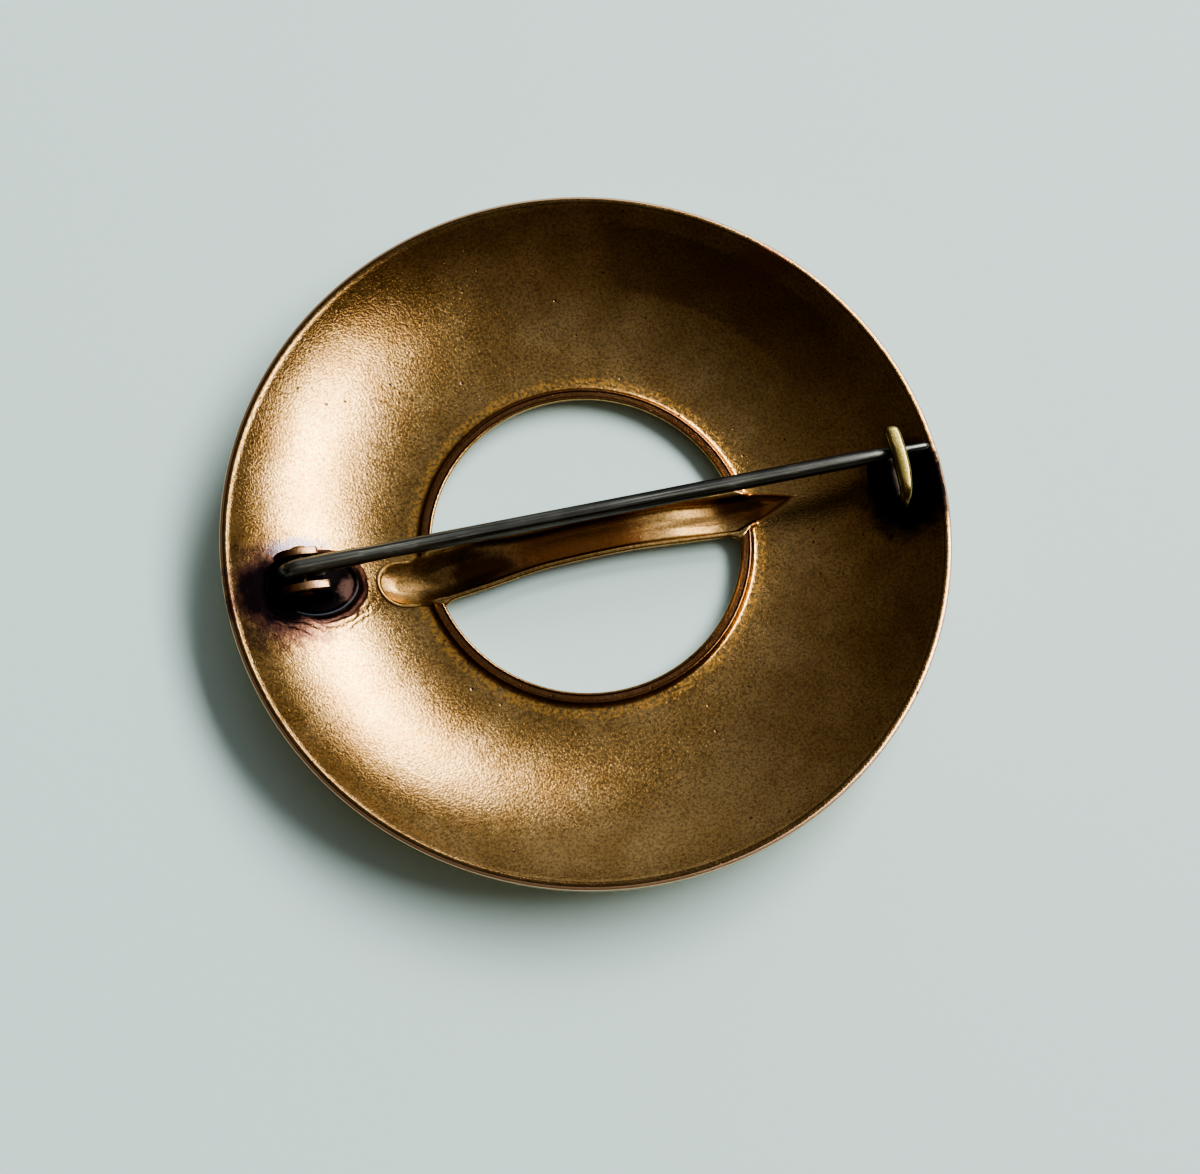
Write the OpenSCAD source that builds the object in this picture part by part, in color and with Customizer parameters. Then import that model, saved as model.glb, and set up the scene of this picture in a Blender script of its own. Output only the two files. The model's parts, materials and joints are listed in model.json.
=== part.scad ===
// Round cast brooch, seen and modelled with its back up: it lies on its domed front.
// A dished ring carries a hollow bar across its hole, a soldered hinge bracket and a brass catch.
// Millimetres. Origin: on the axis of the ring, in the plane that the front rests on.
// +Z points out of the back, +X runs along the pin from its hinge to its point.

/* [Ring] */
// Diameter of the whole brooch
brooch_d = 46; // [45:0.5:48]
// Height of the rim above the plane it rests on
rim_h = 5.0; // [4.8:0.1:5.2]
// Width of the flat land on the rim
rim_land = 0.45; // [0.35:0.05:0.6]
// Thickness of the cast wall
wall_t = 0.85; // [0.75:0.05:0.95]
// Height of the floor beside the hole
floor_h = 1.0; // [0.95:0.05:1.1]
// Diameter of the hole
hole_d = 20.3; // [19.8:0.1:20.6]
// Width of the raised lip around the hole
lip_w = 0.6; // [0.5:0.05:0.7]
// Height of the lip above the floor
lip_rise = 0.4; // [0.3:0.05:0.5]
// Outer diameter of the worn flat that the front rests on
foot_d = 26; // [25:0.5:27]

/* [Cross bar] */
// Half width of the bar in the middle of the hole
bar_half_w = 1.38; // [1.2:0.02:1.5]
// Radius of the bar's gentle bow
bar_bow_r = 85; // [75:5:120]
// Radius of the round spoon end
spoon_r = 1.7; // [1.5:0.05:1.8]
// Thickness of the two walls beside the hollow
bar_wall = 0.32; // [0.25:0.01:0.4]
// Height of the bottom of the hollow
bar_floor_h = 0.5; // [0.4:0.05:0.6]

/* [Hinge] */
// Distance of the rivet from the middle of the brooch
hinge_x = 18.1; // [17.9:0.1:18.3]
// Height of the rivet
rivet_h = 4.4; // [4.35:0.05:4.5]
// Diameter of the rivet's shank
rivet_d = 0.72; // [0.66:0.02:0.76]
// Thickness of one ear
ear_t = 0.5; // [0.4:0.05:0.6]
// Clear width between the two ears
ear_gap = 1.8; // [1.7:0.05:1.9]
// Length of an ear along the pin
ear_len = 3.2; // [3.0:0.1:3.4]
// Length of the oval base plate
base_len = 5.2; // [5.0:0.1:5.4]
// Width of the oval base plate
base_w = 4.1; // [3.9:0.1:4.3]

/* [Pin] */
// Diameter of the pin wire
wire_d = 1.03; // [0.98:0.01:1.05]
// Diameter of the wire at its root, where it turns round the rivet
root_d = 1.14; // [1.08:0.02:1.16]
// Offset of the pin from the middle of the brooch
pin_y = 0.66; // [0.5:0.02:0.8]
// Distance of the pin's point from the middle of the brooch
tip_x = 22.4; // [22.0:0.1:22.5]
// Diameter just before the point
tip_d = 0.5; // [0.4:0.02:0.56]

/* [Catch] */
// Distance of the catch from the middle of the brooch
catch_x = 19.95; // [19.8:0.05:20.1]
// Width of the catch strip along the pin
catch_w = 0.9; // [0.8:0.05:1.0]
// Thickness of the catch strip
catch_t = 0.7; // [0.6:0.05:0.75]
// Reach of the catch's free arm past the middle line
catch_reach = 2.05; // [1.9:0.05:2.1]
// Length of the whole catch across the pin
catch_len = 5.25; // [5.0:0.05:5.4]

/* [Hidden] */
$fn = 96;

rim_r = brooch_d / 2;
hole_r = hole_d / 2;
lip_r = hole_r + lip_w;
lip_top = floor_h + lip_rise;
lip_fillet = 0.3;
rim_chamfer = 0.12;

// The bowl is an arc that leaves the floor level and ends at the inner edge of the land.
bowl_start_r = lip_r + lip_fillet + 0.15;
bowl_run = rim_r - rim_land - bowl_start_r;
bowl_rise = rim_h - floor_h;
bowl_r = (bowl_run * bowl_run + bowl_rise * bowl_rise) / (2 * bowl_rise);
bowl_centre_h = floor_h + bowl_r;

// Stations along the bar: where the spoon's centre, the neck, the leaf's root and its point lie.
spoon_x = -11.9;
neck_x = -7;
leaf_x = 9.8;
leaf_tip_x = 14.25;
leaf_skew = 1.29;
bar_apex = [1.8, 0.22];
bar_step = 0.5;

wire_r = wire_d / 2;
root_r = root_d / 2;
rivet_r = rivet_d / 2;
ear_hole_r = rivet_r + 0.1;
eye_r = rivet_r + 0.075 + root_r;
eye_turn = 272;
root_x = -14.6;
root_taper = 0.6;
pin_h = rivet_h + eye_r;
ear_top_h = rivet_h + 0.8;
ear_round_r = 1.75;
ear_mid = (ear_gap + ear_t) / 2;
base_x = -17.35;
base_y = 0.3;
base_t = 0.4;
base_tilt = 10;
base_top_h = 2.5;
solder_margin = 0.35;
solder_sink = 0.4;
solder_depth = 3;
head_r = rivet_r + 0.2;
head_t = 0.2;
head_gap = 0.06;

taper_x = 17.5;
taper_end_x = 21.2;
point_len = 0.35;
point_r = 0.06;

// The pin lies this far under the free arm and runs through the catch at this radius.
catch_gap = 0.08;
catch_under_h = pin_h + 0.42 + catch_gap;
catch_top_h = catch_under_h + catch_t;
catch_foot_h = 3.6;
catch_mid_h = (catch_top_h + catch_foot_h) / 2;
catch_outer_r = (catch_top_h - catch_foot_h) / 2;
catch_bend_y = catch_reach - catch_len + catch_outer_r;
catch_foot_y = 0.9;
foot_margin = 0.2;

function bar_mid(x) =
    bar_apex[1] - (x - bar_apex[0]) * (x - bar_apex[0]) / (2 * bar_bow_r)
    + leaf_skew * max(0, (x - leaf_x) / (leaf_tip_x - leaf_x));

function bar_half(x) =
    x < spoon_x ? sqrt(max(0, spoon_r * spoon_r - (x - spoon_x) * (x - spoon_x)))
    : x < neck_x ? bar_half_w + (spoon_r - bar_half_w) * (neck_x - x) / (neck_x - spoon_x)
    : x < leaf_x ? bar_half_w
    : bar_half_w * (1 - pow((x - leaf_x) / (leaf_tip_x - leaf_x), 1.5));

// Stations crowd together round the spoon and run evenly along the rest.
spoon_stations = [for (a = [5 : 10 : 75]) spoon_x - spoon_r * cos(a)];
bar_stations = concat(spoon_stations, [for (x = [spoon_x : bar_step : leaf_tip_x]) x]);

// The bar in plan, drawn in by the inset: its two long edges meet at the spoon and the leaf's point.
module bar_outline(inset) {
    xs = [for (x = bar_stations) if (bar_half(x) > inset) x];
    south = [for (x = xs) [x, bar_mid(x) - bar_half(x) + inset]];
    north = [for (i = [len(xs) - 1 : -1 : 0]) [xs[i], bar_mid(xs[i]) + bar_half(xs[i]) - inset]];
    polygon(concat(south, north));
}

module ring_profile() {
    difference() {
        union() {
            intersection() {
                translate([bowl_start_r, bowl_centre_h]) circle(bowl_r + wall_t, $fn = 240);
                translate([hole_r, 0]) square([rim_r - hole_r, rim_h]);
            }
            translate([hole_r, 0]) square([foot_d / 2 - hole_r, floor_h / 2]);
        }
        intersection() {
            translate([bowl_start_r, bowl_centre_h]) circle(bowl_r, $fn = 240);
            translate([bowl_start_r, 0]) square([rim_r, 2 * rim_h]);
        }
        translate([0, floor_h]) square([bowl_start_r, 2 * rim_h]);
        translate([rim_r, rim_h]) rotate(45) square(rim_chamfer * sqrt(2), center = true);
    }
}

module lip_profile() {
    half = lip_w / 2;
    translate([hole_r, floor_h / 2]) square([lip_w, lip_top - half - floor_h / 2]);
    translate([hole_r + half, lip_top - half]) circle(half);
    difference() {
        translate([lip_r, floor_h / 2]) square([lip_fillet, floor_h / 2 + lip_fillet]);
        translate([lip_r + lip_fillet, floor_h + lip_fillet]) circle(lip_fillet);
    }
}

// Everything inside the bowl from the middle of its wall upwards: it trims what is soldered in.
module bowl_space()
    rotate_extrude($fn = 180)
        intersection() {
            translate([bowl_start_r, bowl_centre_h]) circle(bowl_r + solder_sink, $fn = 240);
            translate([lip_r, 0]) square([rim_r - rim_land - lip_r, 2 * rim_h]);
        }

module cast_ring() color("peru")
    rotate_extrude($fn = 180) {
        ring_profile();
        lip_profile();
    }

module cross_bar() color("peru")
    intersection() {
        linear_extrude(lip_top) bar_outline(0);
        cylinder(h = lip_top, r = hole_r + lip_w / 2, $fn = 180);
    }

module bar_hollow()
    translate([0, 0, bar_floor_h]) linear_extrude(rim_h) bar_outline(bar_wall);

module oval(length, width) {
    for (side = [-1, 1]) translate([side * (length - width) / 2, 0]) circle(width / 2);
    square([length - width, width], center = true);
}

// A plate's place on the tilted seat of the bracket, with z = 0 on top of the plate.
module on_seat()
    translate([base_x, base_y, base_top_h]) rotate([0, base_tilt, 0]) children();

module solder_bed() color("dimgray")
    on_seat() translate([0, 0, -base_t / 2 - solder_depth])
        linear_extrude(solder_depth) oval(base_len + 2 * solder_margin, base_w + 2 * solder_margin);

module base_plate()
    on_seat() translate([0, 0, -base_t]) linear_extrude(base_t) oval(base_len, base_w);

module ear()
    linear_extrude(ear_t, center = true)
        difference() {
            intersection() {
                translate([0, ear_top_h - ear_round_r]) circle(ear_round_r);
                translate([-ear_len / 2, base_top_h - base_t]) square([ear_len, rim_h]);
            }
            translate([0, rivet_h]) circle(ear_hole_r);
        }

module hinge_bracket() color("darkgoldenrod") {
    base_plate();
    for (side = [-1, 1])
        translate([-hinge_x, pin_y + side * ear_mid, 0]) rotate([90, 0, 0]) ear();
}

module catch_foot() color("dimgray")
    translate([catch_x - catch_w / 2 - foot_margin, catch_bend_y, 0])
        cube([catch_w + 2 * foot_margin, catch_foot_y - catch_bend_y, catch_foot_h]);

// The casting, with the bracket and the catch's foot that are soldered to it.
module dish() {
    difference() {
        union() {
            cast_ring();
            cross_bar();
        }
        bar_hollow();
    }
    intersection() {
        union() {
            solder_bed();
            hinge_bracket();
            catch_foot();
        }
        bowl_space();
    }
}

// A strip bent to a C: its lower arm stands on the foot, its free arm reaches over the pin.
module catch_outline() {
    inner_r = catch_outer_r - catch_t;
    translate([catch_bend_y, catch_mid_h])
        difference() {
            circle(catch_outer_r);
            circle(inner_r);
            translate([0, -2 * catch_outer_r]) square(4 * catch_outer_r);
        }
    translate([catch_bend_y, catch_under_h])
        square([catch_reach - catch_t / 2 - catch_bend_y, catch_t]);
    translate([catch_reach - catch_t / 2, catch_under_h + catch_t / 2]) circle(catch_t / 2);
    translate([catch_bend_y, catch_foot_h]) square([catch_foot_y - catch_bend_y, catch_t]);
}

module catch_hook() color("gold")
    translate([catch_x - catch_w / 2, 0, 0]) rotate([90, 0, 90])
        linear_extrude(catch_w) catch_outline();

module rivet_half() {
    shank = ear_mid + ear_t / 2 + head_gap;
    cylinder(h = shank, r = rivet_r);
    translate([0, 0, shank]) cylinder(h = head_t, r1 = head_r, r2 = rivet_r);
}

module hinge_rivet() color("sandybrown")
    translate([-hinge_x, pin_y, rivet_h])
        for (side = [-1, 1]) rotate([side * 90, 0, 0]) rivet_half();

// The end of the wire turns round the rivet and stops short of the stem.
module pin_eye()
    translate([-hinge_x, pin_y, rivet_h]) rotate([90, 0, 0]) rotate([0, 0, 90])
        rotate_extrude(angle = eye_turn) translate([eye_r, 0]) circle(root_r);

// One stretch of the pin from x = a to x = b, with its radius at each end.
module wire(a, b, ra, rb)
    translate([a, pin_y, pin_h]) rotate([0, 90, 0]) cylinder(h = b - a, r1 = ra, r2 = rb);

module pin_shank() {
    wire(-hinge_x, root_x, root_r, root_r);
    wire(root_x, root_x + root_taper, root_r, wire_r);
    wire(root_x + root_taper, taper_x, wire_r, wire_r);
    wire(taper_x, taper_end_x, wire_r, tip_d / 2 + 0.02);
    wire(taper_end_x, tip_x - point_len, tip_d / 2 + 0.02, tip_d / 2);
    wire(tip_x - point_len, tip_x, tip_d / 2, point_r);
}

module pin_stem() color("lightsteelblue") {
    pin_eye();
    pin_shank();
}

dish();
catch_hook();
hinge_rivet();
pin_stem();
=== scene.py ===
# %% [markdown]
# The back of a round cast brooch, lying on its domed front.
# The casting is bronze: a dished ring with a raised lip round its hole and a hollow bar across it.
# A small bracket is soldered on and holds a steel pin by a rivet. A brass catch takes the pin's end.
# Each piece is modelled in millimetres and brought to metres at its end, because merge and bevel
# distances are easier to read at the size of the work.

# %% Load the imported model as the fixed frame
import json
import math

import bpy
from mathutils import Matrix, Vector, noise


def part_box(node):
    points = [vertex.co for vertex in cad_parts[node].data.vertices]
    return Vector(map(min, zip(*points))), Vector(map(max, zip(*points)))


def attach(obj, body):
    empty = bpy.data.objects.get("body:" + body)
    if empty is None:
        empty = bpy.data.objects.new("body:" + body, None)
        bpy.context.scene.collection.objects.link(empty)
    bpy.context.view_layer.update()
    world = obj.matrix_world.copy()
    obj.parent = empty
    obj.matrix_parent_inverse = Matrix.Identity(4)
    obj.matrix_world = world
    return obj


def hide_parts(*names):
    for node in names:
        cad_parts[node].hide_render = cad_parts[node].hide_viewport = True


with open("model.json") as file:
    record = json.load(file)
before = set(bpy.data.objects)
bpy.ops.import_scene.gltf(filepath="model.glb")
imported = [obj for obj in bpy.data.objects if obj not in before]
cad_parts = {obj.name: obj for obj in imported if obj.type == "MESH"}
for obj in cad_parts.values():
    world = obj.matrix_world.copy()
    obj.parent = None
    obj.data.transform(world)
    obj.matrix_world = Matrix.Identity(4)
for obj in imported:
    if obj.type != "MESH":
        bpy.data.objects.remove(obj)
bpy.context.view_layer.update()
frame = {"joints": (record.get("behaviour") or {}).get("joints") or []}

# %% [markdown]
# The sizes. What moves has to agree with the frame, so the rivet, the pin and the catch are placed
# from it. The others are what a caliper reads on the casting.

# %% Sizes in millimetres
MM = 0.001
SEAM = 0.0005


def frame_box(node):
    low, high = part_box(node)
    return Vector(low) / MM, Vector(high) / MM


_, dish_high = frame_box("dish")
pin_low, pin_high = frame_box("pin_stem")
hook_low, hook_high = frame_box("catch_hook")
rivet = Vector(frame["joints"][0]["pos_m"]) / MM

RIM_R = dish_high.x
RIM_H = 5.0
RIM_LAND = 0.45
WALL = 0.85
FLOOR_H = 1.0
HOLE_R = 10.0
LIP_R = 10.75
LIP_TOP = 1.4
LIP_EDGE = 1.15
FILLET = 0.3
FOOT_R = 13.0
DOME_R = 12.6
PLATE_X, PLATE_Y = -17.35, 0.3
PLATE_L, PLATE_W = 5.2, 4.1
CATCH_X = (hook_low.x + hook_high.x) / 2
BOWL_START = LIP_R + 0.45
BOWL_RUN = RIM_R - RIM_LAND - BOWL_START
BOWL_RISE = RIM_H - FLOOR_H
BOWL_R = (BOWL_RUN ** 2 + BOWL_RISE ** 2) / (2 * BOWL_RISE)
BOWL_C = FLOOR_H + BOWL_R
print(f"Rim radius {RIM_R:.2f}, bowl arc {BOWL_R:.2f}, rivet at {rivet.x:.2f}, {rivet.y:.2f}, {rivet.z:.2f}")

# %% [markdown]
# A few helpers stand for what the hand does over and over: deselect, pick by place, close the seams,
# apply a modifier, and hand a finished piece over in metres with its object at the origin.

# %% Hand tools
def deselect_all():
    if bpy.context.object and bpy.context.object.mode == "EDIT":
        bpy.ops.object.mode_set(mode="OBJECT")
    bpy.ops.object.select_all(action="DESELECT")


def started(name):
    piece = bpy.context.object
    piece.name = piece.data.name = name
    return piece


def work_on(piece):
    deselect_all()
    piece.select_set(True)
    bpy.context.view_layer.objects.active = piece


def edit(piece, kind="VERT"):
    work_on(piece)
    bpy.ops.object.mode_set(mode="EDIT")
    bpy.ops.mesh.select_mode(type=kind)


def done():
    bpy.ops.object.mode_set(mode="OBJECT")


def pick(piece, kind, test):
    """Enters edit mode with only the vertices, edges or faces whose middle passes the test selected."""
    edit(piece, kind)
    bpy.ops.mesh.select_all(action="DESELECT")
    done()
    points = piece.data.vertices
    for part in {"VERT": points, "EDGE": piece.data.edges, "FACE": piece.data.polygons}[kind]:
        corners = [part.co] if kind == "VERT" else [points[i].co for i in part.vertices]
        part.select = bool(test(sum(corners, Vector()) / len(corners)))
    bpy.ops.object.mode_set(mode="EDIT")


def extrude(move):
    bpy.ops.mesh.extrude_region_move(TRANSFORM_OT_translate={"value": move})


def close_seams(piece):
    edit(piece)
    bpy.ops.mesh.select_all(action="SELECT")
    bpy.ops.mesh.remove_doubles(threshold=SEAM)
    bpy.ops.mesh.normals_make_consistent(inside=False)
    done()


def settle(piece):
    work_on(piece)
    bpy.ops.object.transform_apply(location=True, rotation=True, scale=True)

# %% Modifiers, cuts and joins
def modify(piece, kind, **settings):
    work_on(piece)
    modifier = piece.modifiers.new(kind.title(), kind)
    for name, value in settings.items():
        setattr(modifier, name, value)
    bpy.ops.object.modifier_apply(modifier=modifier.name)


def bevel(piece, width, angle):
    modify(piece, "BEVEL", width=width, segments=3, limit_method="ANGLE", angle_limit=math.radians(angle))


def cut(piece, cutter):
    modify(piece, "BOOLEAN", operation="DIFFERENCE", solver="EXACT", object=cutter)
    bpy.data.objects.remove(cutter)


def join(first, *others):
    deselect_all()
    for piece in (first, *others):
        piece.select_set(True)
    bpy.context.view_layer.objects.active = first
    bpy.ops.object.join()
    return first

# %% Handing a finished piece over
def hand_over(piece, body, material, angle, stands_for=()):
    """Edges blunter than the angle, in degrees, are shaded smooth."""
    piece.scale = (MM, MM, MM)
    settle(piece)
    bpy.ops.object.shade_smooth_by_angle(angle=math.radians(angle))
    piece.data.materials.clear()
    piece.data.materials.append(material)
    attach(piece, body)
    if stands_for:
        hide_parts(*stands_for)
    piece.data.calc_loop_triangles()
    print(f"{piece.name}: {len(piece.data.loop_triangles)} triangles")

# %% Small sums
def arc(cx, cy, radius, start, end, steps):
    angles = [math.radians(start + (end - start) * i / steps) for i in range(steps + 1)]
    return [(cx + radius * math.cos(a), cy + radius * math.sin(a)) for a in angles]


def ease(value, low, high):
    t = min(1.0, max(0.0, (value - low) / (high - low)))
    return t * t * (3 - 2 * t)


def mix(a, b, share):
    return a + (b - a) * share


def ripple(x, y, scale, seed):
    return noise.noise(Vector((x * scale, y * scale, seed)))

# %% [markdown]
# Shared effects. On real bronze the colour, the shine and the grain change together, so each effect
# is a node group that can be laid into any material: a soft ragged patch at a place, the grain of
# the casting, and fine scratches. The nodes could be repeated in each material, but then a change to
# the grain would have to be made six times. The groups put out masks and heights only.

# %% Node helpers
def feed(tree, socket, value):
    if isinstance(value, bpy.types.NodeSocket):
        tree.links.new(value, socket)
    else:
        socket.default_value = value


def add(tree, kind, *values, **named):
    node = tree.nodes.new(kind)
    for i, value in enumerate(values):
        feed(tree, node.inputs[i], value)
    for name, value in named.items():
        feed(tree, node.inputs[name.replace("_", " ")], value)
    return node


def calc(tree, operation, a, b=0.0, c=0.0):
    node = tree.nodes.new("ShaderNodeMath")
    node.operation = operation
    for socket, value in zip(node.inputs, (a, b, c)):
        feed(tree, socket, value)
    return node.outputs[0]


def multiply(tree, a, b):
    return calc(tree, "MULTIPLY", a, b)


def vector_calc(tree, operation, a, b=(0, 0, 0)):
    node = tree.nodes.new("ShaderNodeVectorMath")
    node.operation = operation
    feed(tree, node.inputs[0], a)
    feed(tree, node.inputs[1], b)
    return node.outputs["Value"] if operation in ("LENGTH", "DOT_PRODUCT") else node.outputs[0]

# %% Masks, mixes and noise
def soft_step(tree, value, low, high, out_low=0.0, out_high=1.0):
    node = add(tree, "ShaderNodeMapRange", value, low, high, out_low, out_high)
    node.interpolation_type = "SMOOTHSTEP"
    return node.outputs[0]


def tint(tree, share, a, b):
    node = tree.nodes.new("ShaderNodeMix")
    node.data_type = "RGBA"
    for socket, value in ((node.inputs[0], share), (node.inputs[6], a), (node.inputs[7], b)):
        feed(tree, socket, value)
    return node.outputs[2]


def axes_of(tree, where):
    """The x, y and z of a place, as three sockets."""
    return add(tree, "ShaderNodeSeparateXYZ", where).outputs


def reach_in_plan(tree, where):
    """Distance from the middle as seen from above."""
    return vector_calc(tree, "LENGTH", vector_calc(tree, "MULTIPLY", where, (1.0, 1.0, 0.0)))


def cloudy(tree, where, scale, detail=4.0, rough=0.55):
    node = add(tree, "ShaderNodeTexNoise", Vector=where, Scale=scale, Detail=detail, Roughness=rough)
    return node.outputs[0]


def dots(tree, where, scale):
    return add(tree, "ShaderNodeTexVoronoi", Vector=where, Scale=scale).outputs["Distance"]

# %% Node groups
def group_start(name, ins, outs):
    tree = bpy.data.node_groups.new(name, "ShaderNodeTree")
    for socket, value in ins.items():
        kind = "NodeSocketFloat" if isinstance(value, float) else "NodeSocketVector"
        tree.interface.new_socket(socket, in_out="INPUT", socket_type=kind).default_value = value
    for socket in outs:
        tree.interface.new_socket(socket, in_out="OUTPUT", socket_type="NodeSocketFloat")
    return tree, tree.nodes.new("NodeGroupInput").outputs, tree.nodes.new("NodeGroupOutput").inputs


def lay_in(tree, group, **named):
    node = tree.nodes.new("ShaderNodeGroup")
    node.node_tree = group
    for name, value in named.items():
        feed(tree, node.inputs[name.replace("_", " ")], value)
    return node.outputs

# %% A soft ragged patch
ORIGIN = (0.0, 0.0, 0.0)


def make_patch_group():
    settings = {"Where": ORIGIN, "Centre": ORIGIN, "Size": (1.0, 1.0, 1.0), "Softness": 0.4,
                "Raggedness": 0.3, "Grain": 1.2}
    tree, ins, outs = group_start("ragged_patch", settings, ["Mask"])
    offset = vector_calc(tree, "SUBTRACT", ins["Where"], ins["Centre"])
    away = vector_calc(tree, "DIVIDE", offset, ins["Size"])
    wobble = calc(tree, "SUBTRACT", cloudy(tree, ins["Where"], ins["Grain"], 5.0, 0.6), 0.5)
    reach = calc(tree, "MULTIPLY_ADD", wobble, ins["Raggedness"], vector_calc(tree, "LENGTH", away))
    full = calc(tree, "SUBTRACT", 1.0, ins["Softness"])
    feed(tree, outs["Mask"], soft_step(tree, reach, full, 1.0, 1.0, 0.0))
    return tree


PATCH = make_patch_group()
print("Effect:", PATCH.name)

# %% The grain of the casting
def make_grain_group():
    settings = {"Where": ORIGIN, "Fine": 9.0, "Coarse": 2.2, "Pits": 3.0}
    tree, ins, outs = group_start("cast_grain", settings, ["Height", "Pit", "Cloud"])
    fine = cloudy(tree, ins["Where"], ins["Fine"], 4.0, 0.75)
    coarse = cloudy(tree, ins["Where"], ins["Coarse"])
    beads = dots(tree, ins["Where"], ins["Fine"])
    fine = calc(tree, "MULTIPLY_ADD", beads, -0.5, fine)
    rare = soft_step(tree, cloudy(tree, ins["Where"], 0.9, 2.0), 0.5, 0.62)
    pit = multiply(tree, soft_step(tree, dots(tree, ins["Where"], ins["Pits"]), 0.07, 0.14, 1.0, 0.0), rare)
    feed(tree, outs["Height"], calc(tree, "SUBTRACT", calc(tree, "MULTIPLY_ADD", coarse, 0.1, fine), pit))
    feed(tree, outs["Pit"], pit)
    feed(tree, outs["Cloud"], cloudy(tree, ins["Where"], 0.33))
    return tree


GRAIN = make_grain_group()
print("Effect:", GRAIN.name)

# %% Fine scratches
def make_scratch_group():
    settings = {"Where": ORIGIN, "Turn": 0.0, "Spacing": 3.0, "Amount": 0.5}
    tree, ins, outs = group_start("hair_scratches", settings, ["Mask"])
    turned = add(tree, "ShaderNodeVectorRotate", Vector=ins["Where"], Angle=ins["Turn"])
    turned.rotation_type = "Z_AXIS"
    drawn = vector_calc(tree, "MULTIPLY", turned.outputs[0], (0.12, 1.0, 1.0))
    line = calc(tree, "ABSOLUTE", calc(tree, "SUBTRACT", cloudy(tree, drawn, ins["Spacing"], 2.0), 0.5))
    some = soft_step(tree, cloudy(tree, ins["Where"], 0.5, 3.0), 0.5, 0.7)
    thin = multiply(tree, soft_step(tree, line, 0.0, 0.012, 1.0, 0.0), some)
    feed(tree, outs["Mask"], multiply(tree, thin, ins["Amount"]))
    return tree


SCRATCH = make_scratch_group()
print("Effect:", SCRATCH.name)

# %% [markdown]
# A finish starts as a Principled material that reads its place on the object in millimetres, so the
# numbers in it are those of a caliper. Stains, rings and the plate's outline are masks from 0 to 1.

# %% Material helpers
TO_MM = (1000.0, 1000.0, 1000.0)


def new_finish(name):
    """A new material, its nodes, and its place on the object in millimetres."""
    material = bpy.data.materials.new(name)
    material.use_nodes = True
    tree = material.node_tree
    place = tree.nodes.new("ShaderNodeTexCoord").outputs["Object"]
    return material, tree, vector_calc(tree, "MULTIPLY", place, TO_MM)


def paint(tree, value, socket="Base Color"):
    feed(tree, tree.nodes["Principled BSDF"].inputs[socket], value)


def set_surface(tree, colour, roughness, height, depth, metallic=1.0):
    """Depth is in millimetres."""
    bump = add(tree, "ShaderNodeBump", Strength=1.0, Distance=depth * MM, Height=height)
    paint(tree, colour)
    paint(tree, roughness, "Roughness")
    paint(tree, metallic, "Metallic")
    paint(tree, bump.outputs[0], "Normal")


def patch(tree, where, centre, size, softness, ragged, grain, share):
    """A stain of the given share, soft and ragged at its edge."""
    mask = lay_in(tree, PATCH, Where=where, Centre=centre, Size=size, Softness=softness, Raggedness=ragged,
                  Grain=grain)["Mask"]
    return multiply(tree, mask, share)


def band(tree, radius, inner, outer, soft, share):
    """A mask that is full between two radii."""
    rise = soft_step(tree, radius, inner - soft, inner)
    fall = soft_step(tree, radius, outer, outer + soft, share, 0.0)
    return multiply(tree, rise, fall)


def plate_oval(tree, where):
    """1 along the outline of the hinge plate in plan, less within it and more outside."""
    offset = vector_calc(tree, "SUBTRACT", where, (PLATE_X, PLATE_Y, 0))
    return reach_in_plan(tree, vector_calc(tree, "DIVIDE", offset, (PLATE_L / 2, PLATE_W / 2, 1)))

# %% [markdown]
# Bronze. The back of a casting is tumbled, not polished, so it is satin with a fine grain. It is
# golden where cloth and fingers rub it, brown elsewhere, and smoked nearly black where the torch
# heated it: round the hinge, under the catch, and in a broad patch over the upper right. Left of the
# hinge the black is also painted shadow of the bracket, and the rubbed outer corner of the rim is also
# a painted highlight. Noise alone would spread such stains evenly over the ring, so each one is laid
# at its own place.

# %% Colours of the bronze
GOLD = (0.61, 0.405, 0.185, 1)
BROWN = (0.51, 0.32, 0.135, 1)
DEEP_BROWN = (0.10, 0.042, 0.018, 1)
WARM_BROWN = (0.21, 0.07, 0.022, 1)
RAW_GOLD = (0.90, 0.51, 0.16, 1)
SMOKE = (0.10, 0.05, 0.02, 1)
COPPER = (0.33, 0.13, 0.08, 1)
PURPLE_BROWN = (0.12, 0.055, 0.045, 1)
DARK_SKIN = (0.035, 0.014, 0.006, 1)
SOOT = (0.008, 0.005, 0.008, 1)
BARE_EDGE_AND_HIGHLIGHT = (0.90, 0.62, 0.42, 1)
LILAC = (0.20, 0.175, 0.205, 1)
LIP_SKIN = (0.20, 0.078, 0.042, 1)

# %% Its stains and rings
# Each stain has its centre, size, softness, raggedness, grain of its edge, and share.
BROAD_SMOKE = ((14.0, 13.0, 4), (13, 12, 20), 0.8, 0.5, 0.35, 0.22)
COPPER_STAIN = ((14.6, 15.5, 4.5), (3.2, 1.7, 3), 0.6, 0.9, 0.7, 0.5)
HINGE_HEAT = ((-19.2, -0.2, 3), (4.9, 4.5, 9), 0.45, 0.9, 1.2, 0.9)
# Near black left of the hinge: soot, and painted shadow of the bracket.
HINGE_SOOT_AND_SHADOW = ((-19.9, 0.0, 3), (3.4, 3.4, 9), 0.5, 0.7, 1.3, 0.98)
HINGE_BLOOM = ((-18.2, 2.9, 3), (2.3, 1.1, 9), 0.6, 1.4, 3.0, 0.9)
CATCH_SOOT = ((20.8, -1.6, 4), (3.8, 4.3, 9), 0.5, 0.6, 1.3, 0.98)

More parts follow.
